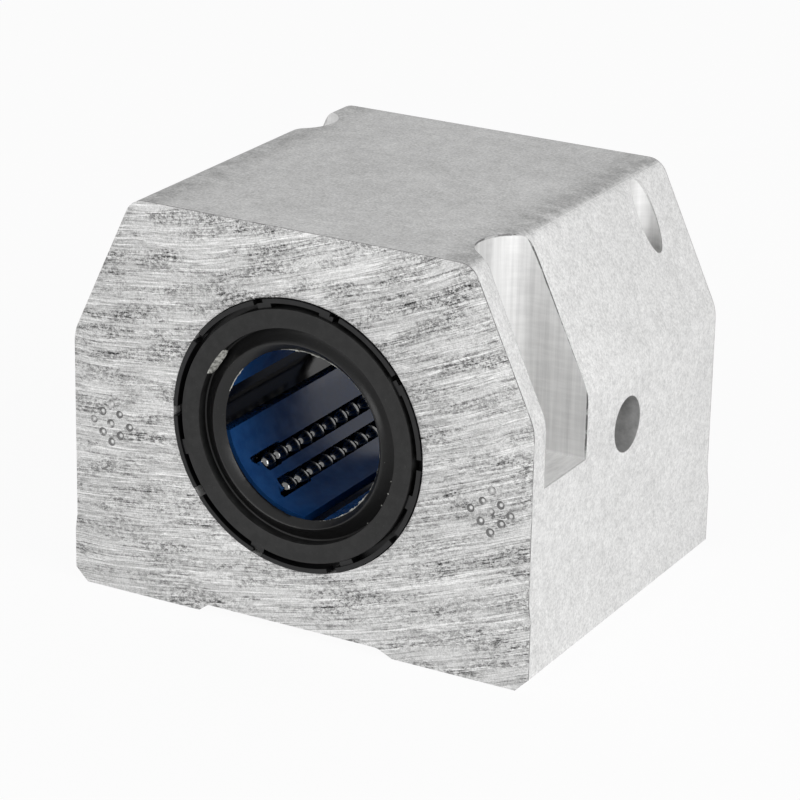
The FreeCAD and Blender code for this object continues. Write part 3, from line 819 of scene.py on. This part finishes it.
# ------------------------------------------------------------------ snaps
SNAP_TURNS = (33.0, 76.0, 106.0, 196.0, 251.0, 296.0, 342.0)
SNAP_STEP = 1.1
SNAP_OUTLINE = ((21.6, 0.15), (21.95, 0.02), (22.72, 0.05), (22.72, 2.1), (21.6, 2.1))


def add_snaps(name, ends):
    """Small snaps which bridge the groove between a seal and its ring."""
    bm = bmesh.new()
    for middle in SNAP_TURNS:
        rows = []
        for step in range(-3, 4):
            turn = math.radians(middle + step * SNAP_STEP)
            rows.append([bm.verts.new(seal_point(radius, depth, turn, ends))
                         for radius, depth in SNAP_OUTLINE])
        loft(bm, rows)
    bmesh.ops.recalc_face_normals(bm, faces=bm.faces)
    shade(new_piece(name, finished_mesh(name, bm), RING), 30.0)


# ------------------------------------------------------------------ CAD pieces that keep their shape
PAINT = {"outer_sleeve": SLEEVE, "ball_retainer": BLUE, "load_plate": PLATE, "end_ring": RING}


def repaint():
    for start, material in PAINT.items():
        for name in nodes:
            if name.startswith(start):
                for slot in nodes[name].material_slots:
                    slot.material = material


# ------------------------------------------------------------------ floor, light and camera
FLOOR_REACH = 4.0
FLOOR_TONE = 0.86
FLOOR_GLOW = 0.93
WORLD_LIGHT = 0.55
CAMERA_TARGET = Vector((0.000304, 0.0, 0.030618))
CAMERA_DISTANCE = 0.577283
CAMERA_AZIMUTH = math.radians(29.01438)
CAMERA_ELEVATION = math.radians(20.65940)
CAMERA_ROLL = math.radians(1.12844)
CAMERA_LENS = 152.333


def plain_floor():
    """Pale floor which glows to the camera and in reflections, and keeps a trace of the shadow."""
    mesh = bpy.data.meshes.new("floor")
    corners = [(x * FLOOR_REACH, y * FLOOR_REACH, 0.0) for x, y in ((-1, -1), (1, -1), (1, 1), (-1, 1))]
    mesh.from_pydata(corners, [], [(0, 1, 2, 3)])
    floor = link(bpy.data.objects.new("floor", mesh))
    floor.location.z = -0.0001
    t = Tree("floor_pale")
    rays = t.node("ShaderNodeLightPath").outputs
    seen = t.most(rays["Is Camera Ray"], t.most(rays["Is Glossy Ray"], rays["Is Transmission Ray"]))
    pale = t.node("ShaderNodeBsdfDiffuse")
    t.put(pale.inputs["Color"], grey(FLOOR_TONE))
    glow = t.node("ShaderNodeEmission")
    t.put(glow.inputs["Color"], grey(1.0))
    t.put(glow.inputs["Strength"], 1.0)
    mixed = t.node("ShaderNodeMixShader")
    t.put(mixed.inputs[0], t.times(seen, FLOOR_GLOW))
    t.put(mixed.inputs[1], pale.outputs[0])
    t.put(mixed.inputs[2], glow.outputs[0])
    t.put(t.out.inputs[0], mixed.outputs[0])
    dress(floor, t.material)


def studio():
    """Even world light, brighter to the camera and in reflections than it lights the scene."""
    world = bpy.data.worlds.new("studio")
    bpy.context.scene.world = world
    world.use_nodes = True
    tree = world.node_tree
    tree.nodes.clear()
    out = tree.nodes.new("ShaderNodeOutputWorld")
    rays = tree.nodes.new("ShaderNodeLightPath")
    lit = tree.nodes.new("ShaderNodeBackground")
    lit.inputs["Strength"].default_value = WORLD_LIGHT
    seen = tree.nodes.new("ShaderNodeBackground")
    seen.inputs["Strength"].default_value = 1.0
    mixed = tree.nodes.new("ShaderNodeMixShader")
    shown = rays.outputs["Is Camera Ray"]
    for kind in ("Is Glossy Ray", "Is Transmission Ray"):
        either = tree.nodes.new("ShaderNodeMath")
        either.operation = "MAXIMUM"
        tree.links.new(shown, either.inputs[0])
        tree.links.new(rays.outputs[kind], either.inputs[1])
        shown = either.outputs[0]
    tree.links.new(shown, mixed.inputs[0])
    tree.links.new(lit.outputs[0], mixed.inputs[1])
    tree.links.new(seen.outputs[0], mixed.inputs[2])
    tree.links.new(mixed.outputs[0], out.inputs[0])


def area(name, place, side, power):
    """Square lamp aimed at the middle of the bore."""
    light = bpy.data.lights.new(name, "AREA")
    light.shape = "RECTANGLE"
    light.size = side
    light.size_y = side
    light.energy = power
    lamp = link(bpy.data.objects.new(name, light))
    lamp.location = place
    target = Vector((0.0, 0.0, BORE_HEIGHT * MM))
    lamp.rotation_euler = (target - lamp.location).to_track_quat("-Z", "Y").to_euler()


def camera():
    """The photograph's view: azimuth from the front towards the right side, and a slight roll."""
    data = bpy.data.cameras.new("camera")
    data.sensor_width = 36.0
    data.lens = CAMERA_LENS
    data.clip_start = 0.01
    view = link(bpy.data.objects.new("camera", data))
    turn = Matrix.Rotation(CAMERA_AZIMUTH, 4, "Z")
    turn = turn @ Matrix.Rotation(math.pi / 2.0 - CAMERA_ELEVATION, 4, "X")
    turn = turn @ Matrix.Rotation(CAMERA_ROLL, 4, "Z")
    back = turn.to_3x3() @ Vector((0.0, 0.0, 1.0))
    view.matrix_world = Matrix.Translation(CAMERA_TARGET + back * CAMERA_DISTANCE) @ turn
    bpy.context.scene.camera = view


# ------------------------------------------------------------------ the scene
add_block()
add_circuits()
add_slot_ends()
add_seal("wiper_seal_front", -1)
add_seal("wiper_seal_rear", 1)
add_flash()
add_snaps("ring_snaps_front", -1)
add_snaps("ring_snaps_rear", 1)
repaint()

plain_floor()
studio()
area("key_right", (1.2, -0.35, 0.55), 0.8, 9.8)
area("fill_front", (-0.3, -1.2, 0.32), 0.9, 5.0)
camera()
bpy.context.scene.view_settings.view_transform = "Standard"
